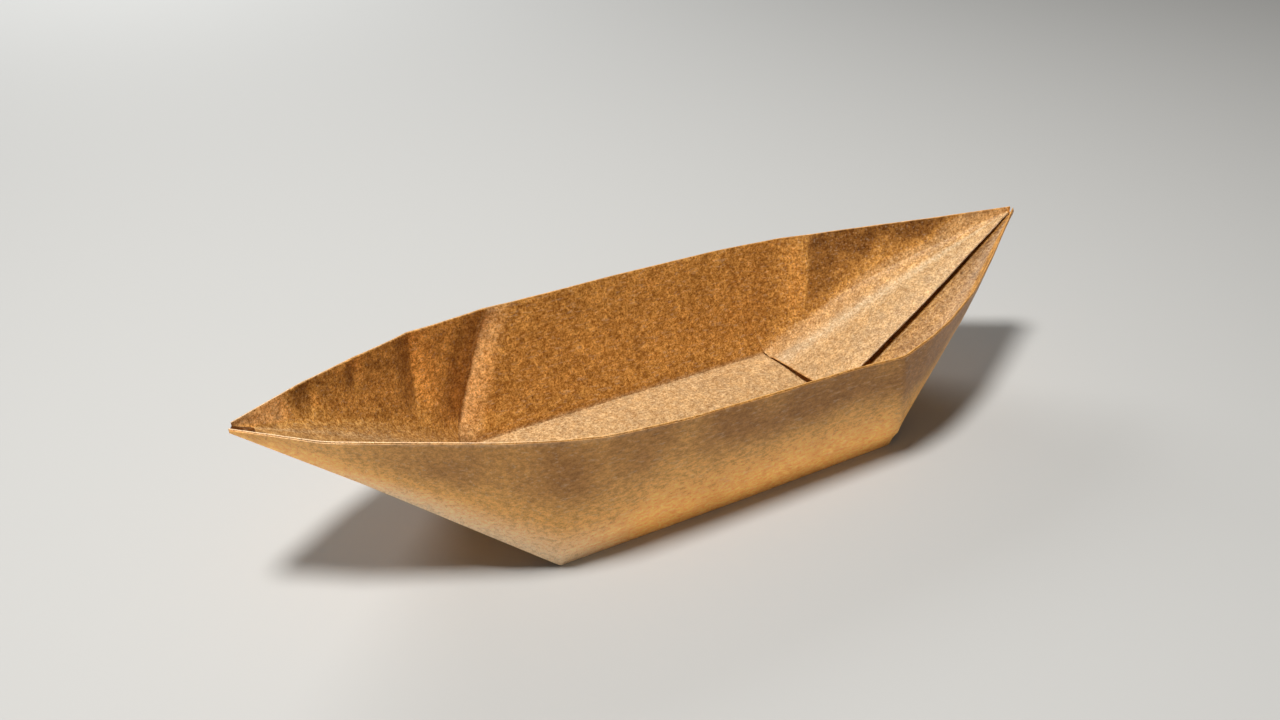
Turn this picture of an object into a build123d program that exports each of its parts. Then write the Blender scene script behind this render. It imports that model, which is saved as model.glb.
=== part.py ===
from build123d import *
import os
from math import tan, radians

# A boat folded from one square of kraft paper and turned inside out.
# X runs from stern to bow, Y to port, Z up. The origin is on the underside of
# the flat bottom, at its middle. All sizes are in millimetres.

# The sheet.
sheet_thickness = 0.1
layer_gap = 0.1            # air between two folded layers of a side wall

# The hull, measured on the middle of the innermost layer.
bottom_length = 60.4
bottom_width = 36.0
wall_height = 22.3         # from the bottom to the rim, amidships
wall_lean = 10.0           # degrees that the side walls lean outwards
end_overhang = 38.4        # how far each tip reaches past the flat bottom
end_rise = 27.2            # how high each sloping end climbs
tip_gap = 0.5              # space between the two walls at a tip
tip_wall_height = 1.0      # what is left of the wall's height at a tip

# The corners of the sheet, folded in over both ends.
flap_layers = 2
flap_lift = 1.0            # how far the flaps spring up beside the slit
flap_reach = 1.0           # how far the flaps reach in over the flat bottom
flap_setback = 1.5         # how far short of the tip the flaps end
slit_width = 0.4           # between the two flaps of one end, at its inner end
corner_reach = 6.5         # how far the corner layers run past the bend, along the rim

node_name = "folded_sheet"

half_sheet = sheet_thickness / 2
layer_pitch = sheet_thickness + layer_gap
flap_thickness = flap_layers * sheet_thickness
bend_x = bottom_length / 2
crease_y = bottom_width / 2
tip_x = bend_x + end_overhang
lean_slope = tan(radians(wall_lean))


def sheet_path(crease, base, height):
    """The sheet's middle line in a cross-section, as (y, z) from keel to raw edge.

    It runs out along the bottom, up the inner layer, over the rim, down the middle
    layer, round the lower fold and up the outer layer to the raw edge.
    """
    flare = height * lean_slope
    top = base + height
    return [
        (crease, base),
        (crease + flare, top),
        (crease + flare + layer_pitch, top),
        (crease + layer_pitch, base),
        (crease + 2 * layer_pitch, base),
        (crease + 2 * layer_pitch + flare, top),
    ]


def sheet_sides(path):
    """The path's left and right sides, half a sheet away, with mitred corners."""
    left, right = [], []
    runs = [(b - a).normalized() for a, b in zip(path, path[1:])]
    for place, point in enumerate(path):
        before = runs[max(place - 1, 0)]
        after = runs[min(place, len(runs) - 1)]
        out_before = before.rotate(Axis.X, 90)
        out_after = after.rotate(Axis.X, 90)
        mitre = (out_before + out_after) / (1 + out_before.dot(out_after))
        left.append(point + mitre * half_sheet)
        right.append(point - mitre * half_sheet)
    return left, right


def section(x, crease, base, height):
    """The outline of the sheet's cross-section at x, from raw edge to raw edge."""
    port = [Vector(x, y, z) for y, z in sheet_path(crease, base, height)]
    starboard = [Vector(x, -p.Y, p.Z) for p in reversed(port)]
    left, right = sheet_sides(starboard + port)
    return left + right[::-1]


def bend_section(x):
    """The section where the flat bottom ends and the sides bend inwards."""
    return section(x, crease_y, half_sheet, wall_height)


def tip_section(x):
    """The section at a tip, where the walls have almost run out.

    Each of its lines is parallel to one of the bend section's, so every panel
    of an end is flat."""
    return section(x, tip_gap / 2, half_sheet + end_rise, tip_wall_height)


def polygon(corners):
    """A flat face on its corners."""
    return Face(Wire.make_polygon(corners, close=True))


def between(first, last):
    """The solid between two sections, with a flat panel for each pair of lines."""
    after_first = first[1:] + first[:1]
    after_last = last[1:] + last[:1]
    panels = [polygon(four) for four in zip(first, after_first, after_last, last)]
    return Solid(Shell([polygon(first), polygon(last)] + panels))


def hull():
    """The flat bottom with its side walls, and a sloping end at each side of it."""
    middle = between(bend_section(-bend_x), bend_section(bend_x))
    bow = between(bend_section(bend_x), tip_section(tip_x))
    stern = between(tip_section(-tip_x), bend_section(-bend_x))
    return middle + bow + stern


def plate(corners, thickness):
    """A flat plate on a polygon of corners, thickened to the side from which the
    corners run anticlockwise."""
    first, second, third = corners[:3]
    normal = (second - first).cross(third - second).normalized()
    return extrude(polygon(corners), amount=thickness, dir=normal)


def bow_corner():
    """The folded-in corner at the bow's port side: a flap on the slope, and layers
    that go on over the crease, up the inside of the wall to the rim."""
    flare = wall_height * lean_slope
    crease = Vector(bend_x, crease_y, half_sheet)
    rim = crease + Vector(0, flare, wall_height)
    inner_rim = rim - Vector(corner_reach, 0, 0)
    tip = Vector(tip_x, tip_gap / 2, half_sheet + end_rise)
    tip_rim = tip + Vector(0, tip_wall_height * lean_slope, tip_wall_height)

    layers = half_sheet + flap_thickness
    on_end = plate([crease, tip, tip_rim, rim], layers)
    on_side = plate([crease, rim, inner_rim], layers)

    slit_end = Vector(bend_x - flap_reach, slit_width / 2, sheet_thickness + flap_lift)
    share = 1 - flap_setback / (tip - crease).length
    slit_tip = slit_end + (tip - slit_end) * share
    crease_tip = crease + (tip - crease) * share
    flap = plate([crease, slit_end, slit_tip, crease_tip], flap_thickness)
    return on_end + on_side + flap


def corners():
    """The four folded-in corners."""
    port_bow = bow_corner()
    port_stern = port_bow.mirror(Plane.YZ)
    starboard_bow = port_bow.mirror(Plane.XZ)
    starboard_stern = starboard_bow.mirror(Plane.YZ)
    return [port_bow, port_stern, starboard_bow, starboard_stern]


def folded_sheet():
    """The whole boat, one sheet of paper."""
    boat = hull()
    for corner in corners():
        boat = boat + corner
    return boat


if __name__ == "__main__":
    os.makedirs("parts", exist_ok=True)
    export_step(folded_sheet(), os.path.join("parts", node_name + ".step"))
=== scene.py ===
from math import cos, radians, sin

import bmesh
import bpy
import numpy as np
from mathutils import Matrix, Vector, noise


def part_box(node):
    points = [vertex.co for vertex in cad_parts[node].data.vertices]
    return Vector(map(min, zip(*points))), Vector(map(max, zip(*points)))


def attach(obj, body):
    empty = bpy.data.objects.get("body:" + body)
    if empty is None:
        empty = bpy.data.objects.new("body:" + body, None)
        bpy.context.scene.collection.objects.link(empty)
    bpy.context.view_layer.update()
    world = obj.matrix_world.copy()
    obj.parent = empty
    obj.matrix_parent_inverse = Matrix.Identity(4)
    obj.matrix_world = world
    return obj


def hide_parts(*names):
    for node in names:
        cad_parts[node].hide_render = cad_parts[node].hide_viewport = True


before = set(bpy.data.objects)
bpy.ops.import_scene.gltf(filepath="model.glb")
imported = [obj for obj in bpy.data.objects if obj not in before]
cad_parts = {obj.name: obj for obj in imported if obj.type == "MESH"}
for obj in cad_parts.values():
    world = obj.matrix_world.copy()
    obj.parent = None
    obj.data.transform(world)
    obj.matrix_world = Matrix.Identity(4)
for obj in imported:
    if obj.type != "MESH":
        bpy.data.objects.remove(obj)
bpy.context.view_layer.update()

# ---------------------------------------------------------------------------
# The boat's outline. X runs from stern to bow, Y to port, Z up, in millimetres.
# ---------------------------------------------------------------------------
MM = 0.001
PORT, STARBOARD = 1, -1
BOW, STERN = 1, -1

INSIDE_CAD = 0.1                       # how far the tips and sides stay inside the CAD box
_, sheet_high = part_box("folded_sheet")
TIP_X = sheet_high[0] / MM - INSIDE_CAD
HALF_BEAM = sheet_high[1] / MM - INSIDE_CAD

SHEET = 0.1                            # thickness of the paper
PITCH = 0.16                           # between the two inner layers of a wall
OUTER = 0.28                           # from the innermost layer to the outermost
BEND_X = 30.2                          # where the flat bottom ends
CREASE_Y = 17.5                        # half the width of the flat bottom, at its ends
BOTTOM_SWELL = 0.2                     # how much further out the crease lies amidships
ARCH_AT, ARCH = 0.62, 0.45             # the stern's slope is arched: share of the way up, height
CREASE_EASE, KEEL_EASE = 0.5, 0.35     # how softly those lines bend
RIM_Y = HALF_BEAM - OUTER - SHEET      # the rim's inner layer, amidships
TIP_WALL = {STERN: 0.45, BOW: 0.9}     # height of wall that is left at a tip
TIP_GAP = {STERN: 0.6, BOW: 0.3}       # half the space between the walls at a tip
PORT_SHORT = 0.6                       # the port wall's stern tip falls short by this much
STERN_TIP = (0.0, 27.1)                # y and z of the rim where the walls meet
BOW_TIP = (-0.9, 27.7)

# The rim of each side, as (x, y, z) from stern to bow. The folds are made by
# hand, so the two sides differ a little.
PORT_RIM = [
    (-58.0, 7.5, 25.9), (-48.0, 12.7, 25.0), (-38.3, 17.6, 23.9), (-30.0, 20.5, 22.7),
    (-23.5, RIM_Y - 0.2, 22.3), (0.0, RIM_Y, 22.1), (20.0, RIM_Y, 21.7),
    (33.2, 20.8, 21.5), (38.2, 18.6, 22.0), (48.0, 13.2, 23.4), (58.0, 6.7, 25.3)]
STARBOARD_RIM = [
    (-58.0, -7.9, 25.7), (-48.0, -12.6, 24.8), (-38.3, -17.5, 24.3), (-30.0, -20.4, 23.5),
    (-23.5, -RIM_Y + 0.3, 22.7), (-10.0, -RIM_Y, 21.5), (3.0, -RIM_Y, 21.0),
    (18.0, -RIM_Y, 20.6), (27.4, -RIM_Y, 19.9), (34.3, -20.5, 20.9), (39.7, -18.4, 21.1),
    (48.0, -14.6, 22.3), (58.0, -8.2, 24.4)]
RIM_EASE = {PORT: 0.8, STARBOARD: 1.6}     # how softly the rim bends at those points

# How far each wall swells out from the straight line, as (x, distance).
SWELL = {
    PORT: [(-60, 0.9), (-45, 1.3), (-25, 0.9), (0, 0.7), (25, 0.9), (45, 1.7), (60, 1.0)],
    STARBOARD: [(-60, 0.3), (-50, 0.6), (-40, 1.1), (-25, 1.5), (25, 1.4), (45, 1.2), (60, 0.6)],
}
SWELL_TOP = 2.05                       # brings the swell's curve up to about 1
SWELL_LOW, SWELL_HIGH = 0.62, 1.05     # how full that curve is near the crease and the rim
WALL_WAVES = [(0.16, 13.0, 3.0), (0.06, 4.5, 7.0)]     # height, size and seed
WAVE_RISE, STAIN_RISE = 20.0, 14.0     # a wall's height in the patterns of its waves and stains
WALL_STRAIGHT = 16                     # towards a tip, the swell and the folds fade over this
FLOOR_STRAIGHT = 12                    # and the waves of the bottom over this
FLOOR_WAVE, FLOOR_LUMP = 0.14, 15.0    # height and size of those waves

# Folds and dents that run down the walls: side, x at the bottom, x at the rim,
# depth (outwards is positive), reach towards the stern and towards the bow,
# and the part of the wall's height that they cover.
WALL_FOLDS = [
    (PORT, -32.5, -23.5, 1.5, 6.0, 4.5, 0.0, 1.0),
    (PORT, -38.8, -38.3, 1.3, 3.6, 5.0, 0.2, 1.0),
    (PORT, -49.5, -48.3, 0.5, 1.6, 2.6, 0.5, 1.0),
    (PORT, -56.0, -56.5, 0.6, 2.6, 2.0, 0.3, 0.95),
    (PORT, -60.5, -61.5, 0.5, 1.8, 1.6, 0.2, 0.95),
    (PORT, 36.6, 38.6, -0.8, 5.0, 5.5, 0.0, 1.0),
    (PORT, 47.0, 49.5, 0.5, 2.5, 3.0, 0.4, 1.0),
    (STARBOARD, 30.2, 27.6, 0.6, 6.0, 3.0, 0.0, 1.0),
    (STARBOARD, -44.0, -40.0, -0.4, 6.0, 5.0, 0.0, 0.9),
]
FOLD_WANDER = 0.05                     # how far those folds stray from a straight line
FOLD_START, FOLD_END = 0.06, 0.12      # how far they run on past that part, as a share of height
FOLD_FADE = 0.2                        # the share of height over which they fade in and out

# Darker spots on the inside of the walls: side, x, share of the wall's height, reach along the boat
# and up the wall, and how dark they are.
DARK_SPOTS = [
    (PORT, 54.5, 0.75, 4.0, 0.35, 0.95),
    (PORT, 45.5, 0.90, 4.5, 0.30, 0.50),
    (PORT, -57.6, 0.60, 1.6, 0.50, 0.50),
    (PORT, -53.6, 0.85, 1.8, 0.25, 0.45),
]

# Tone, which is below 0 where the paper is darker, mostly painted shade, and above 0 where it is
# paler, mostly painted light, and the second mark, which is the share of its colour that has rubbed
# off, together with painted sheen and painted highlights.
FOLD_SHADE = -2.6                      # painted light and shade that a wall's slope along the boat gives it, as if lit from the stern
FOLD_DARKEST = {BOW: -0.3, STERN: -0.45}
FOLD_PALEST = {BOW: 0.85, STERN: 0.9}
DARK, PALE = -1, 1                     # the tone's limits
RIM_DARKENING, CREASE_SHADE = 0.7, 0.25         # darkening under the rims of both ends, and painted shade along the crease
BOW_BROWNER, STERN_PALER = 0.42, 0.22
# Each pair: distance from amidships where it starts, and over which it comes to full strength.
DARK_ENDS = (33, 12)
# Where the walls grow paler towards the tips and their darkening stops; at the stern tip the paleness
# is painted light.
PALE_BOW_TIP, PALE_STERN_TIP = (58, 4), (59, 2.5)
SHADED_STERN_TIP = (58, 3)             # painted shade in the narrow space between its walls
TIP_SHADE, COVERED_SHADE = 1.6, 0.6    # how dark that painted shade is, and the painted shade of the slopes under the flaps
OUTER_LIGHT, OUTER_SHADE = 0.65, 1.75   # the outside's painted light low down, and its painted shade at the rim
# Painted shade on the outside where it turns to the bow, and along its foot.
BOW_SIDE_SHADE, LOW_OUTER_SHADE = 0.45, 0.2
# Painted sheen on the bottom, and the crease's rubbed paleness.
FLOOR_SHEEN, CREASE_WEAR = 0.56, 0.5
SLIT_WEAR, EDGE_WEAR = 0.9, 0.35       # along the flaps' slit and inner edge
EDGE_SHADE = 0.6                        # painted shade along the stern corners' edge, up the wall

# The folded-in corners: x of the inner edge at the slit, at the crease and at
# the rim, how far the flap springs up beside the slit, how far from the crease
# it curves up to the wall, and how deep its pleat beside the crease is.
CORNERS = {
    (BOW, PORT): (29.9, 28.9, 22.6, 1.9, 5.5, 0.4),
    (BOW, STARBOARD): (30.4, 30.0, 23.8, 0.3, 6.5, 0.1),
    (STERN, PORT): (29.0, 32.5, 23.5, 0.9, 4.0, 0.15),
    (STERN, STARBOARD): (29.0, 31.0, 24.0, 0.3, 4.0, 0.2),
}

FLAP_ROWS, WALL_ROWS = 40, 26          # mesh rows of a corner, on its flap and up the wall
CORNER_COLUMNS = 104                   # from its tip to its inner edge
LAYERS = 0.085                         # half the thickness of a corner's two layers
PRESSED = {BOW: 0.75, STERN: 0.4}      # share of it that is pressed out, higher up the wall
FLAP_CLEAR, WALL_CLEAR = 0.03, 0.01    # air between a corner and the slope or the wall beneath
CURVE_UP = 0.27                        # how steeply a flap curves up to the wall
FLAP_EDGE_WAVE, WALL_EDGE_WAVE, SLIT_WAVE = 0.12, 0.04, 0.10     # how far those edges stray
CRUMPLES = [(0.09, 5.0, 40.0), (0.04, 2.2, 50.0)]      # height, size and seed
PLEAT_AT, PLEAT_TURN, PLEAT_WIDTH = 1.7, 0.18, 0.5     # from the crease, slant and half width
PLEAT_LENGTH = 8
BEND_ROUND = 0.9                       # how softly a corner bends from its flap to the wall
FLAP_SHORT = {BOW: 0.4, STERN: 3.4}    # how far the corners end before the tip
# The slit between a pair of flaps, as (distance from amidships, y, width).
SLIT = {
    BOW: [(28, -3.1, 0.45), (50, -2.9, 0.5), (68.6, -1.2, 0.4)],
    STERN: [(28, 0.4, 0.5), (60, 0.2, 0.5), (68.6, 0.1, 1.0)],
}
SLIT_ROUND, EDGE_ROUND = 0.10, 0.05    # how far the slit's edge and the inner edge bulge
HIGHLIGHT_AT, HIGHLIGHT_WIDTH = 0.76, 0.10     # a port flap's painted highlight band, as shares from slit to crease

# Mesh of the hull.
STATION_STEP = 0.7
CREASED_PART = (-33.35, -22.5)         # where the port wall's sharp fold needs twice the stations
BEND_STATIONS = (0.08, 0.2, 0.35, 0.6)     # on both sides of a bend
LAYER_ROWS, FLOOR_ROWS = 22, 26


def rise(x, start, reach):
    """0 up to start, then rising straight to 1 over reach."""
    return np.clip((x - start) / reach, 0, 1)


def fall(x, reach):
    """1 at 0, falling straight to 0 at reach."""
    return np.clip(1 - x / reach, 0, 1)


def soft_steps(edge):
    """Nine steps from -1 to 1 and their weights, which end at edge."""
    steps = np.linspace(-1, 1, 9)
    return steps, 1 + edge - steps ** 2


def ease(x, knots, values, reach):
    """A line through the knots whose bends are rounded over about reach."""
    first = (values[1] - values[0]) / (knots[1] - knots[0])
    last = (values[-1] - values[-2]) / (knots[-1] - knots[-2])
    far = 10.0
    k = np.concatenate([[knots[0] - far], knots, [knots[-1] + far]])
    v = np.concatenate([[values[0] - far * first], values, [values[-1] + far * last]])
    steps, weights = soft_steps(0.2)
    total = sum(w * np.interp(x + s * reach, k, v) for s, w in zip(steps, weights))
    return total / weights.sum()


def rough(x, y, size, seed):
    """Smooth random height, about -1 to 1, in lumps of the given size."""
    flat = zip(np.ravel(x) / size, np.ravel(y) / size)
    values = [noise.noise(Vector((a, b, seed))) for a, b in flat]
    return np.reshape(values, np.shape(x))


def tent(d, left, right):
    """1 on the line, falling to 0 at each side's reach, with a soft foot."""
    t = np.clip(1 - np.where(d < 0, -d / left, d / right), 0, 1)
    return t * t * (1.5 - 0.5 * t)


def rim(side, x):
    """y and z of a side's rim at each x."""
    points = PORT_RIM if side == PORT else STARBOARD_RIM
    points = ([(-TIP_X, STERN_TIP[0] + side * TIP_GAP[STERN], STERN_TIP[1])] + points
              + [(TIP_X, BOW_TIP[0] + side * TIP_GAP[BOW], BOW_TIP[1])])
    k, y, z = np.array(points).T
    return ease(x, k, y, RIM_EASE[side]), ease(x, k, z, RIM_EASE[side])


def keel(x):
    """Height of the sheet along the middle of the bottom and its sloping ends."""
    low = SHEET / 2
    top = STERN_TIP[1] - TIP_WALL[STERN]
    arched = low + (top - low) * ARCH_AT + ARCH
    k = np.array([-TIP_X, -BEND_X - ARCH_AT * (TIP_X - BEND_X), -BEND_X, BEND_X, TIP_X])
    z = np.array([top, arched, low, low, BOW_TIP[1] - TIP_WALL[BOW]])
    return np.maximum(ease(x, k, z, KEEL_EASE), low)


def crease(side, x):
    """y and z of the fold between the wall and the bottom or the sloping end."""
    k = np.array([-TIP_X, -BEND_X, 0, BEND_X, TIP_X])
    y = np.array([STERN_TIP[0] + side * TIP_GAP[STERN], side * CREASE_Y,
                  side * (CREASE_Y + BOTTOM_SWELL), side * CREASE_Y,
                  BOW_TIP[0] + side * TIP_GAP[BOW]])
    return ease(x, k, y, CREASE_EASE), keel(x)


def swell(side, x, h):
    """How far a wall's middle surface stands out from straight, at height share h."""
    size = np.interp(x, *np.array(SWELL[side]).T)
    shape = size * SWELL_TOP * h ** SWELL_LOW * (1 - h) ** SWELL_HIGH
    for height, lump, seed in WALL_WAVES:
        shape = shape + height * rough(x, h * WAVE_RISE, lump, seed + side)
    for fold_side, low_x, top_x, depth, left, right, h0, h1 in WALL_FOLDS:
        if fold_side == side:
            line = low_x + (top_x - low_x) * h + FOLD_WANDER * np.sin(7 * h + low_x)
            band = rise(h, h0 - FOLD_START, FOLD_FADE) * rise(h1 - h, -FOLD_END, FOLD_FADE)
            fullest = h * (1 - h) * 2 + 0.35
            shape = shape + depth * tent(x - line, left, right) * band * fullest
    fade = rise(TIP_X - np.abs(x), 0, WALL_STRAIGHT)
    held = rise(h, 0, 1 / 6)                      # the crease at the bottom stays in line
    return shape * fade * held


def wall(side, x, h, out):
    """A point of a wall: h is the share of its height, out the distance outwards."""
    y0, z0 = crease(side, x)
    y1, z1 = rim(side, x)
    y = y0 + (y1 - y0) * h + side * swell(side, x, h)
    limit = HALF_BEAM - OUTER - 1.1 * SHEET
    return np.clip(y, -limit, limit) + side * out, z0 + (z1 - z0) * h


def floor_height(x, y):
    """Height of the bottom and the sloping ends, with the paper's slight waves."""
    fade = fall(np.abs(y), CREASE_Y + 0.1) ** 0.5 * rise(TIP_X - np.abs(x), 0, FLOOR_STRAIGHT)
    return keel(x) + FLOOR_WAVE * fade * (0.6 + rough(x, y, FLOOR_LUMP, 1.0))


# ---------------------------------------------------------------------------
# Darkening, rubbing, and painted light, shade and sheen
# ---------------------------------------------------------------------------
def tone(side, x, h):
    """The tone of the inside of a wall, with painted light and shade from its slopes and painted shade
    along its crease.
    """
    step = 0.25
    slope = (swell(side, x + step, h) - swell(side, x - step, h)) / (2 * step)
    darkest = np.where(x > 0, FOLD_DARKEST[BOW], FOLD_DARKEST[STERN])
    palest = np.where(x > 0, FOLD_PALEST[BOW], FOLD_PALEST[STERN])
    # Painted light and shade from the wall's slope along the boat, as if lit from the stern.
    folds = np.clip(FOLD_SHADE * slope, darkest, palest)

    patches = np.clip(0.4 + 1.5 * rough(x, h * STAIN_RISE, 3.6, 60.0 + side), 0, 1)
    darkening = RIM_DARKENING * rise(np.abs(x), *DARK_ENDS) * (0.25 + 0.75 * patches) * rise(h, 0.35, 1 / 3)
    for spot_side, spot_x, spot_h, along, up, dark in DARK_SPOTS:
        if spot_side == side:
            apart = ((x - spot_x) / along) ** 2 + ((h - spot_h) / up) ** 2
            darkening = darkening + dark * (0.4 + 0.6 * patches) * np.exp(-apart)
    darkening = darkening + BOW_BROWNER * rise(x, 36, 4) - STERN_PALER * rise(-x, 26, 4)
    # Painted shade along the crease.
    darkening = darkening + CREASE_SHADE * fall(h, 1 / 3)
    # Towards the tips the darkening stops and the wall grows paler; at the stern tip that paleness is
    # painted light.
    bow_tip, stern_tip = rise(x, *PALE_BOW_TIP), rise(-x, *PALE_STERN_TIP)
    off_tips = 1 - bow_tip - stern_tip
    return np.clip(folds - darkening * off_tips + 0.4 * bow_tip + stern_tip, DARK, PALE)


def outer_tone(side, x, h):
    """The tone of the outside of a wall: painted shade below the rim, painted light lower down."""
    patches = 0.9 + 0.3 * rough(x, h * STAIN_RISE, 7.0, 70.0 + side)
    astern = rise(-x, 15, 10)
    upper = rise(h, 0.28 - 0.16 * astern, 0.5) * (1 - 0.15 * astern) * rise(x, -69, 20)
    turned = rise(x, BEND_X - 2.7, 1.5)                  # the bow's side is painted browner, as shade
    # Painted shade below the rim, on the bow's side and along the foot; painted light and sheen low
    # down.
    outer_shading = OUTER_SHADE * upper * patches + BOW_SIDE_SHADE * turned + LOW_OUTER_SHADE * fall(h, 1 / 14)
    return np.clip(OUTER_LIGHT - outer_shading + 0.45 * outer_sheen(x, h), DARK, PALE)


def flap_tone(end, side, grid):
    """The tone of the flaps: the bow's starboard one is browner to its tip."""
    x, y = grid[..., 0], grid[..., 1]
    patches = 0.18 * rough(x, y, 5.0, 80.0 + side)
    if end == STERN:
        return patches - 0.45
    if side == STARBOARD:
        return patches - 0.45 * rise(x, 34, 10) - 0.4 * rise(x, 50, 12)
    return patches + 0.05


def inner_highlight(side, x, h):
    """Painted highlight on the pale strip beside a stern corner's edge, and painted light on the
    stern's tip.
    """
    crease_x, rim_x = CORNERS[STERN, side][1:3]
    past = x + crease_x + (rim_x - crease_x) * h
    strip = 0.45 * rise(past, -0.4, 0.4) * fall(past, 4.5) ** 0.7
    tip = 0.4 * rise(-x, *PALE_STERN_TIP) * rise(h, 0, 1 / 3)
    return np.maximum(strip, tip)


def outer_sheen(x, h):
    """Painted sheen low down on the outside of the stern."""
    along = rise(x, -60, 10) * rise(-x, 17, 12)
    return along * np.clip(1.15 - 3.3 * h, 0, 1)


def rubbed_rim(x):
    """Wear of the rims, which are paler astern."""
    return 0.06 + 0.34 * rise(-x, 5, 30) + 0.3 * rise(-x, 48, 8)


def flap_sheen(end, side, across):
    """Painted sheen of a flap, from the slit (across 0) to the crease (across 1), with a painted
    highlight band on a port flap.
    """
    if side == STARBOARD:
        rub_and_sheen = 0.15 + 0.15 * np.clip(across, 0, 1)
    else:
        rub_and_sheen = 0.58 - 0.25 * rise(across, 0.80, 0.12) + 0.42 * highlight_band(across)
    return 0.3 * rub_and_sheen if end == STERN else rub_and_sheen


def highlight_band(across):
    """1 on the painted highlight band of a port flap, falling to 0 on both sides."""
    return np.exp(-((across - HIGHLIGHT_AT) / HIGHLIGHT_WIDTH) ** 2)


# ---------------------------------------------------------------------------
# The hull's mesh
# ---------------------------------------------------------------------------
def stations():
    """The x of every cross-section, closer together at the folds."""
    x = list(np.arange(-TIP_X, TIP_X, STATION_STEP)) + [TIP_X]
    x += list(np.arange(*CREASED_PART, STATION_STEP))
    for bend in (-BEND_X, BEND_X):
        x += [bend + way * near for near in BEND_STATIONS for way in (-1, 1)]
    return np.array(sorted(x))


def spaced(count):
    """Shares from 0 to 1, closer together at both ends."""
    t = np.linspace(0, 1, count)
    return 0.75 * t + 0.25 * (1 - np.cos(np.pi * t)) / 2


def layer_rows(side, x, heights, out, slack, outside):
    """One layer of a wall. Each row holds y, z, rubbed paleness with painted sheen, tone and outside.
    """
    rows = []
    for h in heights:
        y, z = wall(side, x, h, out + slack * 4 * h * (1 - h))
        if outside:
            paint, rub_and_sheen = outer_tone(side, x, h), outer_sheen(x, h)
        else:
            paint, rub_and_sheen = tone(side, x, h), inner_highlight(side, x, h)
        if out == 0 and side == STARBOARD:               # its stern tip is painted dark, as shade
            paint = paint - TIP_SHADE * rise(-x, *SHADED_STERN_TIP)
        rows.append([y, z, rub_and_sheen, paint, outside * np.ones_like(x)])
    return rows


def fold_rows(side, x, h, near, far, way):
    """The rounded fold that joins the layers at near and far, at the rim or the crease."""
    rows = []
    level = np.ones_like(x)
    y, z = wall(side, x, h * level, near)
    half = (far - near) / 2
    rub_and_sheen = rubbed_rim(x)
    for angle in np.radians([35, 90, 145]):
        across = side * half * (1 - np.cos(angle))
        rows.append([y + across, z + way * half * np.sin(angle), rub_and_sheen, rub_and_sheen - 0.4, 0.5 * level])
    return rows


def side_rows(side, x):
    """A side's middle line at every station, from the crease to the raw edge."""
    shares = spaced(LAYER_ROWS)
    level = np.ones_like(x)
    height = rim(side, x)[1] - crease(side, x)[1]
    raw = 1 - (0.10 + 0.08 * rough(x, x * 0, 9.0, 20.0 + side)) / height
    inner = layer_rows(side, x, [h * level for h in shares], 0.0, 0.0, 0)
    middle = layer_rows(side, x, [h * level for h in shares[::-1]], PITCH, 0.02, 0)
    outer = layer_rows(side, x, [h * raw for h in shares], OUTER, 0.05, 1)
    inner[0][2] = CREASE_WEAR * level
    outer[-1][2] = 0.5 * rubbed_rim(x)
    at_rim = fold_rows(side, x, 1, 0.0, PITCH, 1)
    at_crease = fold_rows(side, x, 0, PITCH, OUTER, -0.4)
    return inner + at_rim + middle + at_crease + outer


def floor_rows(x):
    """The bottom and the sloping ends, from starboard to port."""
    rows = []
    y_star, y_port = crease(STARBOARD, x)[0], crease(PORT, x)[0]
    covered = rise(np.abs(x), BEND_X + 2, 3)             # under the flaps, seen in the slit; painted with shade
    # The floor of the stern tip is painted dark, as shade.
    deep = rise(-x, *SHADED_STERN_TIP)
    for share in spaced(FLOOR_ROWS)[1:-1]:
        y = y_star + (y_port - y_star) * share
        rub_and_sheen, paint = FLOOR_SHEEN * (1 - covered), -COVERED_SHADE * covered - deep
        rows.append([y, floor_height(x, y), rub_and_sheen, paint, 0 * x])
    return rows


def both_faces(xs, y, z):
    """The points of the sheet's two faces, half its thickness from the middle line."""
    dy, dz = np.diff(y, axis=0), np.diff(z, axis=0)
    size = np.maximum(np.hypot(dy, dz), 1e-9)
    ny, nz = -dz / size, dy / size
    before = np.vstack([ny[:1], ny]), np.vstack([nz[:1], nz])
    after = np.vstack([ny, ny[-1:]]), np.vstack([nz, nz[-1:]])
    join = np.maximum(1 + before[0] * after[0] + before[1] * after[1], 0.6)
    off_y = (before[0] + after[0]) / join * SHEET / 2
    off_z = (before[1] + after[1]) / join * SHEET / 2
    up = np.stack([xs, y + off_y, z + off_z], -1)
    down = np.stack([xs, y - off_y, z - off_z], -1)
    loop = np.concatenate([up, down[::-1]])
    loop[..., 2] = np.maximum(loop[..., 2], 0.0)
    return loop


def loop_faces(count, along):
    """Faces of a closed loop of count points that is repeated along the boat."""
    faces = []
    for i in range(along - 1):
        for j in range(count):
            k = (j + 1) % count
            faces.append((j * along + i, j * along + i + 1, k * along + i + 1, k * along + i))
    for i, flip in ((0, False), (along - 1, True)):      # the two ends
        for j in range(count // 2 - 1):
            quad = [q * along + i for q in (j, j + 1, count - 2 - j, count - 1 - j)]
            faces.append(tuple(quad if flip else quad[::-1]))
    return faces


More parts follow.
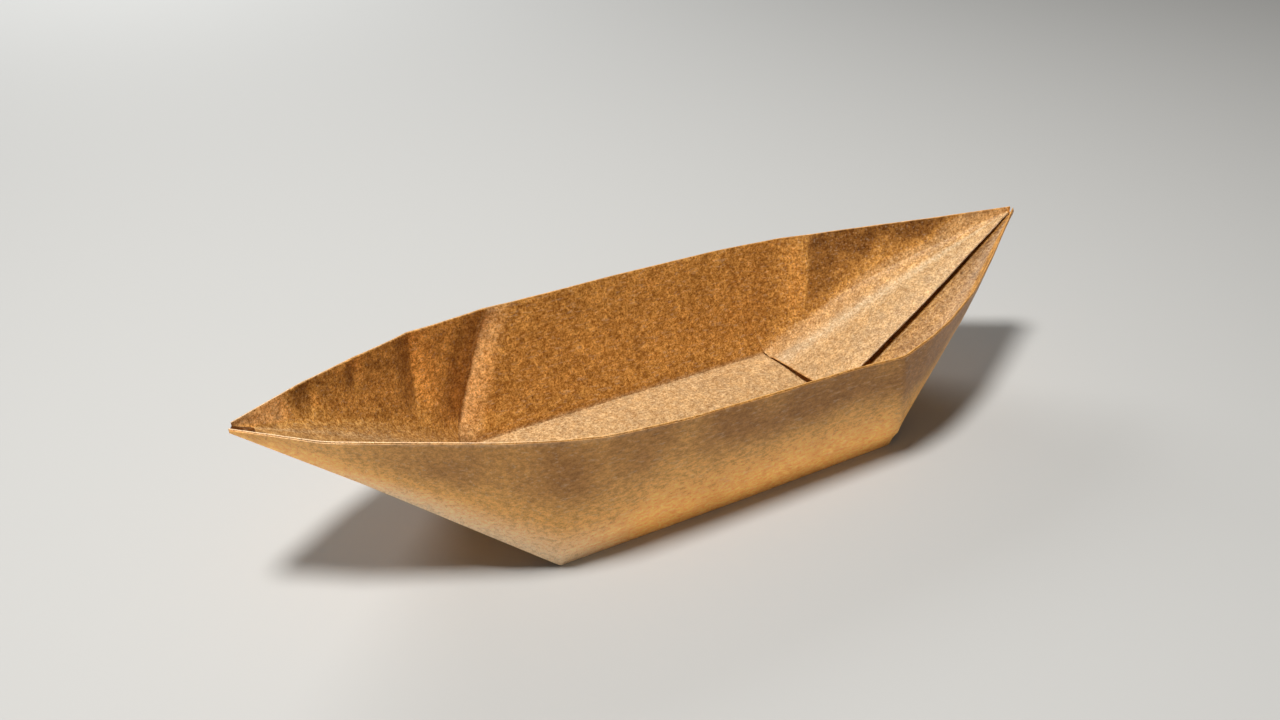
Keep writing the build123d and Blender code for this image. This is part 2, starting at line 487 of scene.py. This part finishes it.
def hull_mesh():
    """The bottom, the sloping ends and the three layers of both walls, one sheet."""
    x = stations()
    port, star, floor = side_rows(PORT, x), side_rows(STARBOARD, x), floor_rows(x)
    rows = np.array(star[::-1] + floor + port)            # [row, kind, station]
    y, z, wear_and_sheen, paint, outside = rows.transpose(1, 0, 2)
    short = PORT_SHORT * rise(-x, TIP_X - 12, 12)
    share = np.linspace(0, 1, len(floor) + 2)[1:-1]
    drawn_in = np.concatenate([np.zeros(len(star)), share, np.ones(len(port))])
    loop = both_faces(x + drawn_in[:, None] * short, y, z)

    # The under face of the bottom and the slopes shows on the outside.
    middle = slice(len(star), len(star) + len(floor))
    under, under_wear_and_sheen, under_tone = outside.copy(), wear_and_sheen.copy(), paint.copy()
    under[middle], under_wear_and_sheen[middle], under_tone[middle] = 1, 0, 0.2
    marks = {"wear_and_sheen": np.concatenate([wear_and_sheen, under_wear_and_sheen[::-1]]).ravel(),
             "tone": np.concatenate([paint, under_tone[::-1]]).ravel(),
             "outside": np.concatenate([outside, under[::-1]]).ravel()}
    return loop.reshape(-1, 3), loop_faces(*loop.shape[:2]), marks


# ---------------------------------------------------------------------------
# The folded-in corners' meshes
# ---------------------------------------------------------------------------
def pressed(end, h):
    """Share of a corner's thickness that is left at height share h: it is pressed flat."""
    return 1 - PRESSED[end] * rise(h, 0, 1 / 3.5)


def flap_row(end, side, t, u):
    """Points of a flap, at share t of the way from the slit to the crease."""
    slit_x, crease_x, _, lift, bend, pleat = CORNERS[end, side]
    tip = TIP_X - FLAP_SHORT[end]
    clear = SHEET / 2 + LAYERS + FLAP_CLEAR
    edge = slit_x + (crease_x - slit_x) * t + FLAP_EDGE_WAVE * sin(9 * t + end)
    x = end * (tip + (edge - tip) * u)

    places, middles, widths = np.array(SLIT[end]).T
    slit = np.interp(np.abs(x), places, middles) + side * np.interp(np.abs(x), places, widths) / 2
    slit = slit + SLIT_WAVE * side * rough(x, x * 0, 6.0, 30.0 + side)
    room = np.clip(side * (crease(side, x)[0] - slit) - clear, 0.02, None)
    y = slit + side * room * t

    off_crease = room * (1 - t)
    reach = np.minimum(bend, 0.45 * room)
    curve_up = CURVE_UP * reach * fall(off_crease, reach) ** 2 * (1 - 0.75 * u ** 8)
    spring = lift * (1 - t) ** 0.8 * u ** 0.35

    in_from_edge = np.abs(x) - edge
    near_crease = np.exp(-((1 - t) / 0.3) ** 2) * rise(u, 0.6, 1 / 3)
    crumple = sum(height * rough(x, y, lump, seed + side) for height, lump, seed in CRUMPLES)
    crumple = crumple * (0.6 + 2.4 * near_crease) * rise(u, 0, 0.2)
    off_pleat = off_crease - PLEAT_AT - PLEAT_TURN * in_from_edge
    groove = np.exp(-(off_pleat / PLEAT_WIDTH) ** 2)
    crumple = crumple - pleat * groove * fall(in_from_edge, PLEAT_LENGTH)
    z = floor_height(x, y) + clear + spring + curve_up + crumple
    return np.stack([x, y, z], -1)


def wall_row(end, side, share, u, crease_row):
    """Points of a corner's layers on the wall, at a share of the way up to the rim."""
    crease_x, rim_x = CORNERS[end, side][1:3]
    tip = TIP_X - FLAP_SHORT[end]
    edge = crease_x + (rim_x - crease_x) * share + WALL_EDGE_WAVE * sin(7 * share + side)
    x = end * (tip + (edge - tip) * u)
    low = crease(side, x)[1]
    foot = np.clip((crease_row[:, 2] - low) / (rim(side, x)[1] - low), 0, 0.6)
    h = foot + (1 - foot) * share
    y, z = wall(side, x, h, -(SHEET / 2 + (LAYERS + WALL_CLEAR) * pressed(end, h)))
    return np.stack([x, y, z], -1)


def round_bend(grid, u):
    """The same grid with the bend between its flap and its wall rounded over."""
    step = np.linalg.norm(np.diff(grid, axis=0), axis=-1)
    run = np.concatenate([np.zeros((1, len(u))), np.cumsum(step, axis=0)])
    soft = grid.copy()
    shifts, weights = soft_steps(0.05)
    for c in range(len(u)):
        s = run[:, c]
        reach = min(BEND_ROUND - 0.4 * u[c] ** 6, 0.2 * s[-1])
        near = fall(np.abs(s - s[FLAP_ROWS - 1]) - 1.0, 1.5)
        for axis in range(3):
            total = sum(w * np.interp(s + d * reach * near, s, grid[:, c, axis])
                        for d, w in zip(shifts, weights))
            soft[:, c, axis] = total / weights.sum()
    return soft


def corner_grid(end, side):
    """The middle of a folded-in corner's layers: across the flap, then up the wall."""
    u = spaced(CORNER_COLUMNS)                           # from the tip to the inner edge
    rows = [flap_row(end, side, t, u) for t in spaced(FLAP_ROWS)]
    at_crease = rows[-1]
    rows += [wall_row(end, side, share, u, at_crease) for share in spaced(WALL_ROWS + 1)[1:]]
    return round_bend(np.array(rows), u)


def corner_marks(end, side, grid, height):
    """Rubbed paleness with painted sheen, and tone, of every point of a corner's grid."""
    x = grid[..., 0]
    across = (np.arange(len(grid)) / (FLAP_ROWS - 1))[:, None]
    share = height[:, None] + np.zeros_like(x)
    spread = np.zeros_like(x)
    if (end, side) == (BOW, PORT):           # the painted sheen runs up the wall to the tip
        spread = 0.2 * rise(x, 40, 12) + 0.8 * rise(x, 57, 5)
    flap = fall(share - spread, 1 / 12)

    wear_and_sheen = flap_sheen(end, side, across) * flap
    paint = tone(side, x, share) * rise(share - spread, 0.5 / 6, 1 / 6)
    paint = paint + flap_tone(end, side, grid) * flap
    # The port bow flap is paler on its painted highlight band.
    if (end, side) == (BOW, PORT):
        paint = paint + 0.45 * highlight_band(across) * flap
    if end == STERN:                         # painted shade along the edge of the layers, on the wall, with a painted highlight strip beside it
        wear_and_sheen = np.maximum(wear_and_sheen, inner_highlight(side, x, share) * (1 - flap))
        paint[FLAP_ROWS:, -1] -= EDGE_SHADE
    wear_and_sheen[0] = SLIT_WEAR
    wear_and_sheen[:, -1] = EDGE_WEAR * fall(height, 1 / 3)
    return wear_and_sheen, paint


def border_points(rows, columns):
    """The grid's border, in order, as (row, column)."""
    return ([(0, c) for c in range(columns)] + [(r, columns - 1) for r in range(1, rows)]
            + [(rows - 1, c) for c in range(columns - 2, -1, -1)]
            + [(r, 0) for r in range(rows - 2, 0, -1)])


def edge_point(grid, r, c):
    """A point of the border, moved outwards where the corner's edge is rounded."""
    out = np.zeros(3)
    if c == grid.shape[1] - 1:
        out = grid[r, c] - grid[r, c - 1]
        out *= EDGE_ROUND / max(np.linalg.norm(out), 1e-9)
    elif r == 0:
        out = grid[1, c] - grid[0, c]
        out *= SLIT_ROUND / max(np.linalg.norm(out), 1e-9)
    return grid[r, c] + out


def corner_mesh(end, side):
    """A folded-in corner: the flap on the slope and its layers up the wall."""
    grid = corner_grid(end, side)
    normal = np.cross(np.gradient(grid, axis=0), np.gradient(grid, axis=1))
    normal /= np.maximum(np.linalg.norm(normal, axis=-1, keepdims=True), 1e-9)
    if normal[FLAP_ROWS // 2, CORNER_COLUMNS // 2, 2] < 0:
        normal = -normal
    rows, columns = grid.shape[:2]
    height = np.clip((np.arange(rows) - FLAP_ROWS + 1) / WALL_ROWS, 0, 1)
    thick = LAYERS * pressed(end, height)[:, None, None]
    verts = list((grid + normal * thick).reshape(-1, 3)) + list((grid - normal * thick).reshape(-1, 3))
    grid_wear_and_sheen, grid_tone = corner_marks(end, side, grid, height)
    wear_and_sheen = list(grid_wear_and_sheen.ravel()) * 2
    paint = list(grid_tone.ravel()) * 2

    def at(r, c, layer):
        return layer * rows * columns + r * columns + c

    faces = []
    for r in range(rows - 1):
        for c in range(columns - 1):
            faces.append((at(r, c, 0), at(r, c + 1, 0), at(r + 1, c + 1, 0), at(r + 1, c, 0)))
            faces.append((at(r, c, 1), at(r + 1, c, 1), at(r + 1, c + 1, 1), at(r, c + 1, 1)))
    # The border, rounded along the slit and the inner edge.
    border = border_points(rows, columns)
    first, total = len(verts), len(border)
    for i, (r, c) in enumerate(border):
        verts.append(edge_point(grid, r, c))
        wear_and_sheen.append(grid_wear_and_sheen[r, c])
        paint.append(0.0)
        r2, c2 = border[(i + 1) % total]
        m, m2 = first + i, first + (i + 1) % total
        faces.append((at(r, c, 0), m, m2, at(r2, c2, 0)))
        faces.append((m, at(r, c, 1), at(r2, c2, 1), m2))
    return np.array(verts), faces, {"wear_and_sheen": wear_and_sheen, "tone": paint, "outside": [0.0] * len(wear_and_sheen)}


def make_piece(name, verts, faces, marks):
    """A Blender object from millimetre points, with the marks of each point."""
    mesh = bpy.data.meshes.new(name)
    mesh.from_pydata((np.asarray(verts) * MM).tolist(), [], faces)
    mesh.validate()
    mesh.update()
    for kind, values in marks.items():
        layer = mesh.attributes.new(kind, "FLOAT", "POINT")
        layer.data.foreach_set("value", np.asarray(values, np.float32))
    bm = bmesh.new()
    bm.from_mesh(mesh)
    bmesh.ops.recalc_face_normals(bm, faces=bm.faces)
    bm.to_mesh(mesh)
    bm.free()
    mesh.shade_smooth()
    mesh.set_sharp_from_angle(angle=radians(40))
    piece = bpy.data.objects.new(name, mesh)
    bpy.context.scene.collection.objects.link(piece)
    return piece


# ---------------------------------------------------------------------------
# Kraft paper
# ---------------------------------------------------------------------------
BASE_DEEP, BASE_LIGHT = (0.63, 0.315, 0.076, 1), (0.76, 0.39, 0.098, 1)
PATCH_DEEP, PATCH_LIGHT = (0.78, 0.74, 0.68, 1), (1.14, 1.13, 1.12, 1)
# Tints of the tone: darker for painted shade and other darkening, paler for painted light.
SHADE_AND_SOIL_TINT, LIGHT_AND_PALE_TINT = (0.22, 0.14, 0.07, 1), (1.55, 1.50, 1.50, 1)
# Pale tint for rubbed paleness and painted sheen.
WORN_AND_SHEEN = (0.60, 0.595, 0.47, 1)
GRAIN_DEEP, GRAIN_LIGHT = (0.52, 0.41, 0.26, 1), (1.16, 1.25, 1.34, 1)
CLUMP_DEEP, CLUMP_LIGHT = (0.66, 0.58, 0.46, 1), (1.14, 1.17, 1.22, 1)
STREAK_DEEP, STREAK_LIGHT = (1.04, 1.00, 0.94, 1), (1.72, 1.78, 1.98, 1)
FLECK, PALE_FIBRE = (0.36, 0.25, 0.12, 1), (0.92, 0.74, 0.48, 1)
BLACK, WHITE = (0, 0, 0, 1), (1, 1, 1, 1)


class Graph:
    """A material's nodes, made and linked by short calls."""

    def __init__(self, mat):
        self.nodes, self.links = mat.node_tree.nodes, mat.node_tree.links
        self.coords = self.nodes.new("ShaderNodeTexCoord").outputs["Object"]

    def put(self, socket, value):
        """Sets a socket to a number or a colour, or links an output to it."""
        if isinstance(value, (float, tuple)):
            socket.default_value = value
        else:
            self.links.new(value, socket)

    def noise(self, scale, detail, roughness, source=None):
        """Random values from 0 to 1."""
        node = self.nodes.new("ShaderNodeTexNoise")
        node.inputs["Scale"].default_value = scale
        node.inputs["Detail"].default_value = detail
        node.inputs["Roughness"].default_value = roughness
        self.put(node.inputs["Vector"], source or self.coords)
        return node.outputs["Fac"]

    def stretched(self, scale, turn):
        """The object's coordinates, turned and scaled."""
        node = self.nodes.new("ShaderNodeMapping")
        node.inputs["Scale"].default_value = scale
        node.inputs["Rotation"].default_value = turn
        self.put(node.inputs["Vector"], self.coords)
        return node.outputs["Vector"]

    def ramp(self, source, first, last):
        """Colours between two stops, each given as (place, colour)."""
        node = self.nodes.new("ShaderNodeValToRGB")
        for element, stop in zip(node.color_ramp.elements, (first, last)):
            element.position, element.color = stop
        self.put(node.inputs["Fac"], source)
        return node.outputs["Color"]

    def mix(self, kind, factor, a, b):
        """Two colours blended."""
        node = self.nodes.new("ShaderNodeMix")
        node.data_type = "RGBA"
        node.blend_type = kind
        for socket, value in zip((node.inputs[0], node.inputs[6], node.inputs[7]), (factor, a, b)):
            self.put(socket, value)
        return node.outputs[2]

    def math(self, kind, a, b):
        """Two numbers combined."""
        node = self.nodes.new("ShaderNodeMath")
        node.operation = kind
        self.put(node.inputs[0], a)
        self.put(node.inputs[1], b)
        return node.outputs[0]

    def times_plus(self, value, factor, more):
        """value * factor + more."""
        return self.math("ADD", self.math("MULTIPLY", value, factor), more)

    def mark(self, name):
        """One of the mesh's marks."""
        node = self.nodes.new("ShaderNodeAttribute")
        node.attribute_name = name
        return node.outputs["Fac"]


def paper_colour(g, grain, fleck, streak):
    """The paper's colour: mottled, darkened and lightened by painted shade and light, paled by rubbing
    and painted sheen, then grainy inside or streaked outside.
    """
    wear_and_sheen, shade_and_soil, outside = g.mark("wear_and_sheen"), g.mark("tone"), g.mark("outside")
    colour = g.ramp(g.noise(90, 3, 0.6), (0.30, BASE_DEEP), (0.70, BASE_LIGHT))
    patches = g.ramp(g.noise(500, 3, 0.6), (0.34, PATCH_DEEP), (0.66, PATCH_LIGHT))
    colour = g.mix("MULTIPLY", g.times_plus(outside, -0.4, 0.8), colour, patches)
    # Tone darkens the colour with painted shade and other darkening, and lightens it with painted
    # light.
    colour = g.mix("MULTIPLY", g.math("MULTIPLY", shade_and_soil, -0.72), colour, SHADE_AND_SOIL_TINT)
    colour = g.mix("MULTIPLY", shade_and_soil, colour, LIGHT_AND_PALE_TINT)
    # Rubbed paleness and painted sheen blend towards a pale grey-yellow.
    rub_and_sheen = g.math("MULTIPLY", wear_and_sheen, g.times_plus(grain, 0.5, 0.3))
    colour = g.mix("MIX", rub_and_sheen, colour, WORN_AND_SHEEN)

    grainy = g.ramp(grain, (0.36, GRAIN_DEEP), (0.62, GRAIN_LIGHT))
    clumps = g.ramp(g.noise(1000, 3, 0.7), (0.40, CLUMP_DEEP), (0.60, CLUMP_LIGHT))
    grainy = g.mix("MULTIPLY", 0.6, grainy, clumps)
    streaky = g.ramp(streak, (0.36, STREAK_DEEP), (0.62, STREAK_LIGHT))
    texture = g.mix("MIX", outside, grainy, streaky)
    colour = g.mix("MULTIPLY", g.times_plus(wear_and_sheen, -0.45, 1.0), colour, texture)

    flecks = g.ramp(fleck, (0.38, FLECK), (0.49, WHITE))
    colour = g.mix("MULTIPLY", g.times_plus(outside, -0.45, 0.7), colour, flecks)
    fibre = g.noise(2400, 2, 0.6, g.stretched((0.3, 1.5, 1.0), (0.3, 0.2, 0.6)))
    fibres = g.math("MULTIPLY", g.ramp(fibre, (0.56, BLACK), (0.72, WHITE)), 0.22)
    return g.mix("MIX", fibres, colour, PALE_FIBRE)


def kraft_paper():
    """Brown wrapping paper: mottled, flecked with fibres, paler where it is rubbed and where a sheen
    is painted, with painted light and shade.
    """
    mat = bpy.data.materials.new("kraft_paper")
    mat.use_nodes = True
    g = Graph(mat)
    grain = g.noise(2300, 3, 0.75)
    fleck = g.noise(4200, 2, 0.7)
    streak = g.noise(1900, 4, 0.8, g.stretched((0.5, 1.0, 1.0), (0.0, 0.0, 0.0)))

    shader = g.nodes["Principled BSDF"].inputs
    g.put(shader["Base Color"], paper_colour(g, grain, fleck, streak))
    g.put(shader["Roughness"], g.times_plus(grain, 0.25, 0.32))
    g.put(shader["Specular IOR Level"], g.times_plus(g.mark("outside"), 0.2, 0.2))

    height = g.math("ADD", g.math("MULTIPLY", grain, 0.6), g.math("MULTIPLY", fleck, 0.25))
    height = g.math("ADD", height, g.math("MULTIPLY", streak, 0.2))
    bump = g.nodes.new("ShaderNodeBump")
    bump.inputs["Strength"].default_value = 0.4
    bump.inputs["Distance"].default_value = 0.00012
    g.put(bump.inputs["Height"], height)
    g.put(shader["Normal"], bump.outputs["Normal"])
    return mat


def build_boat():
    """The boat: its hull and the four folded-in corners."""
    paper = kraft_paper()
    end_names = {BOW: "bow", STERN: "stern"}
    side_names = {PORT: "port", STARBOARD: "starboard"}
    pieces = [make_piece("paper_hull", *hull_mesh())]
    for end, side in CORNERS:
        name = f"corner_{end_names[end]}_{side_names[side]}"
        pieces.append(make_piece(name, *corner_mesh(end, side)))
    for piece in pieces:
        piece.data.materials.append(paper)
        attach(piece, "root")
    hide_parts("folded_sheet")


# ---------------------------------------------------------------------------
# Floor, light and camera, in metres
# ---------------------------------------------------------------------------
FLOOR_HALF = 1.2
FLOOR_COLOUR = (0.45, 0.447, 0.436, 1)
WORLD_COLOUR, WORLD_STRENGTH = (1.0, 0.95, 0.87, 1), 0.10
# name, place, what it points at, size, power and colour
LIGHTS = [
    ("key", (-0.10, -0.035, 0.44), (0, 0, 0.02), 0.10, 2.55, (1.0, 0.99, 0.97)),
    ("window", (-0.03, 0.5, 0.3), (-0.015, 0.25, 0), 0.3, 1.7, (0.97, 0.99, 1.0)),
    ("fill", (-0.15, -0.6, 0.14), (0, 0, 0.01), 0.3, 0.4, (1.0, 0.96, 0.90)),
]
AZIMUTH, ELEVATION, ROLL = radians(-27.82), radians(30.66), radians(-1.55)
DISTANCE = 0.19276
AIM = Vector((-0.0019, 0.0093, 0.0123))
SENSOR = 36.0
LENS = SENSOR * 1150 / 1280


def pale_floor():
    """The surface that the boat stands on."""
    mesh = bpy.data.meshes.new("floor")
    half = FLOOR_HALF
    mesh.from_pydata([(-half, -half, 0), (half, -half, 0), (half, half, 0), (-half, half, 0)],
                     [], [(0, 1, 2, 3)])
    floor = bpy.data.objects.new("floor", mesh)
    bpy.context.scene.collection.objects.link(floor)
    mat = bpy.data.materials.new("pale_floor")
    mat.use_nodes = True
    shader = mat.node_tree.nodes["Principled BSDF"]
    shader.inputs["Base Color"].default_value = FLOOR_COLOUR
    shader.inputs["Roughness"].default_value = 0.9
    shader.inputs["Specular IOR Level"].default_value = 0.1
    mesh.materials.append(mat)


def area_light(name, place, target, size, power, colour):
    """A round, soft light that points at the target."""
    data = bpy.data.lights.new(name, "AREA")
    data.shape = "DISK"
    data.size = size
    data.energy = power
    data.color = colour
    light = bpy.data.objects.new(name, data)
    bpy.context.scene.collection.objects.link(light)
    light.location = place
    way = Vector(target) - Vector(place)
    light.rotation_euler = way.to_track_quat("-Z", "Y").to_euler()


def studio():
    """A key light overhead, a window behind, a weak fill in front and a dim room."""
    world = bpy.data.worlds.new("studio")
    bpy.context.scene.world = world
    world.use_nodes = True
    background = world.node_tree.nodes["Background"]
    background.inputs["Color"].default_value = WORLD_COLOUR
    background.inputs["Strength"].default_value = WORLD_STRENGTH
    for light in LIGHTS:
        area_light(*light)


def camera():
    """The viewpoint: over the starboard quarter, with a slight roll."""
    back = Vector((sin(AZIMUTH) * cos(ELEVATION), -cos(AZIMUTH) * cos(ELEVATION), sin(ELEVATION)))
    right = Vector((0, 0, 1)).cross(back).normalized()
    up = back.cross(right)
    turned_right = right * cos(ROLL) + up * sin(ROLL)
    turned_up = up * cos(ROLL) - right * sin(ROLL)
    data = bpy.data.cameras.new("camera")
    data.sensor_width = SENSOR
    data.lens = LENS
    data.clip_start = 0.005
    cam = bpy.data.objects.new("camera", data)
    bpy.context.scene.collection.objects.link(cam)
    frame_axes = Matrix((turned_right, turned_up, back)).transposed().to_4x4()
    cam.matrix_world = Matrix.Translation(AIM + back * DISTANCE) @ frame_axes
    bpy.context.scene.camera = cam


build_boat()
pale_floor()
studio()
camera()
bpy.context.scene.view_settings.view_transform = "Standard"
